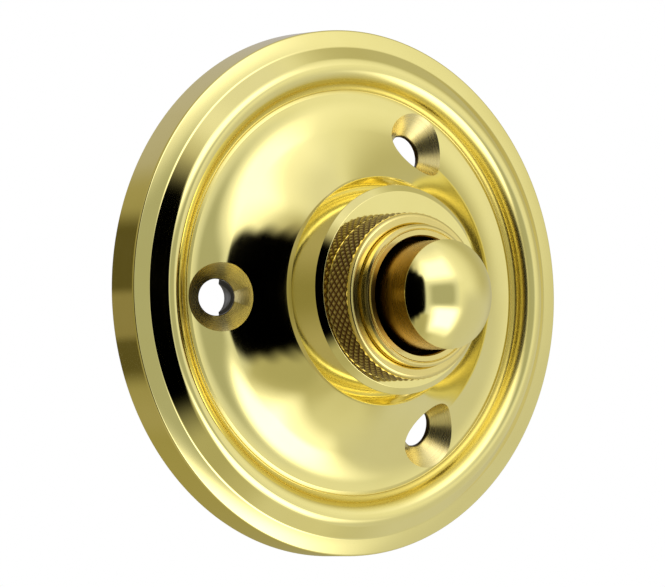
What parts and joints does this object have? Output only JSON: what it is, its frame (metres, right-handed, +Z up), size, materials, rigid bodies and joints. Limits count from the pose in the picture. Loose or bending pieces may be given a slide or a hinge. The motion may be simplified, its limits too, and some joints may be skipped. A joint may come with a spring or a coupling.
{
  "type": "doorbell push button",
  "caption": "Round brass bell push: moulded wall plate with countersunk fixing holes, knurled ring nut and a sprung domed button over leaf contacts.",
  "frame": {"origin": "centre of the plate's back edge, on the wall", "axes": "+Y into the wall, -Y out of the front, +Z up and +X right as seen from the front"},
  "size_m": [0.076, 0.0338, 0.076],
  "materials": {
    "polished_brass": "polished and clear lacquered",
    "plain_brass": "as turned or pressed",
    "spring_bronze": "rolled strip",
    "contact_silver": "as pressed",
    "spring_steel": "drawn wire",
    "phenolic": "moulded, semi gloss",
    "nylon": "moulded, natural white"
  },
  "bodies": {
    "housing": {"rose_plate": "polished_brass", "ring_nut": "polished_brass", "guide_bush": "polished_brass", "return_spring": "spring_steel", "contact_carrier": "phenolic", "moving_contact": "spring_bronze", "fixed_contact": "plain_brass", "fixed_point": "contact_silver", "terminal_screws": "plain_brass", "terminal_washers": "plain_brass", "terminal_nuts": "plain_brass", "carrier_screws": "plain_brass"},
    "button": {"push_button": "polished_brass", "plunger": "nylon"}
  },
  "joints": [
    {"name": "button_press", "type": "slide", "parent": "housing", "child": "button", "axis": [0, 1, 0], "range_m": [0, 0.002], "stiffness_N_per_m": 400, "springref_m": -0.004, "deforming": ["return_spring", "moving_contact"]}
  ]
}
